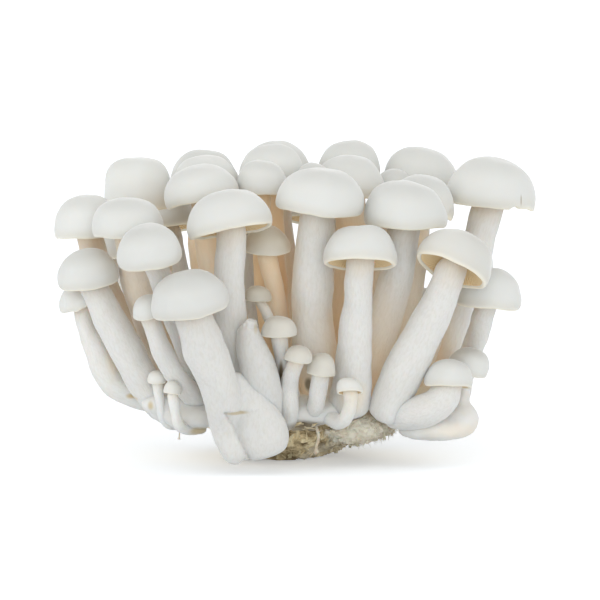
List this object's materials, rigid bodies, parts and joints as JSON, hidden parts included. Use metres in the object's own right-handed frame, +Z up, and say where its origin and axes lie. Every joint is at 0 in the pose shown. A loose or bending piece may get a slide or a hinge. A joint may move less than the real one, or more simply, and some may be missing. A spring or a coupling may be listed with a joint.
{
  "type": "mushroom bunch",
  "caption": "Bunch of white shimeji mushrooms: round caps on fleshy stems fanning out from one butt on a cut plug of sawdust substrate.",
  "frame": {"origin": "on the plug's cut underside, the flat face the bunch stands on, below the middle of the butt", "axes": "+Z up out of the cut face, +X to the right along the bunch's longest side, +Y to the back; the front faces -Y"},
  "size_m": [0.1202, 0.1075, 0.0778],
  "materials": {
    "flesh": "smooth matte mushroom flesh, near white with tan gills",
    "button_flesh": "smooth matte cream mushroom flesh",
    "butt_flesh": "lumpy matte mushroom flesh where the stems run together",
    "substrate": "crumbly damp sawdust bound by white threads",
    "mycelium": "matted fuzzy mycelium"
  },
  "bodies": {
    "root": {"left_edge_drooping": "flesh", "left_edge_stout": "flesh", "left_small": "flesh", "front_left_leaning": "flesh", "front_low_stout": "flesh", "front_left_tall": "flesh", "front_center_tall": "flesh", "front_center_low": "flesh", "front_right_tall": "flesh", "front_right_leaning": "flesh", "right_edge_low": "flesh", "left_edge_high": "flesh", "left_shoulder": "flesh", "left_center_front": "flesh", "inner_left_low": "flesh", "inner_small_cap": "flesh", "center_second": "flesh", "right_second": "flesh", "left_inner_low": "flesh", "center_inner_low": "flesh", "right_inner_low": "flesh", "back_left_high": "flesh", "left_center_middle": "flesh", "left_center_rear": "flesh", "center_left_top": "flesh", "center_rear_top": "flesh", "center_right_top": "flesh", "right_rear_top": "flesh", "right_inner_small": "flesh", "right_rear_wide": "flesh", "right_broad": "flesh", "back_left_low": "flesh", "back_left_leaning": "flesh", "back_center_left": "flesh", "back_center": "flesh", "back_center_right": "flesh", "back_right_leaning": "flesh", "back_left_bottom": "flesh", "back_center_bottom": "flesh", "back_right_bottom": "flesh", "low_right_front": "flesh", "low_right_side": "flesh", "button_center_high": "button_flesh", "button_center_left": "button_flesh", "button_center_round": "button_flesh", "button_center_bent": "button_flesh", "button_inner": "button_flesh", "button_left_outer": "button_flesh", "button_left_inner": "button_flesh", "button_back_left": "button_flesh", "button_back_center": "button_flesh", "button_back_right": "button_flesh", "broken_stem_front": "flesh", "butt": "butt_flesh", "substrate_plug": "substrate", "mycelium_mat": "mycelium"}
  },
  "joints": []
}
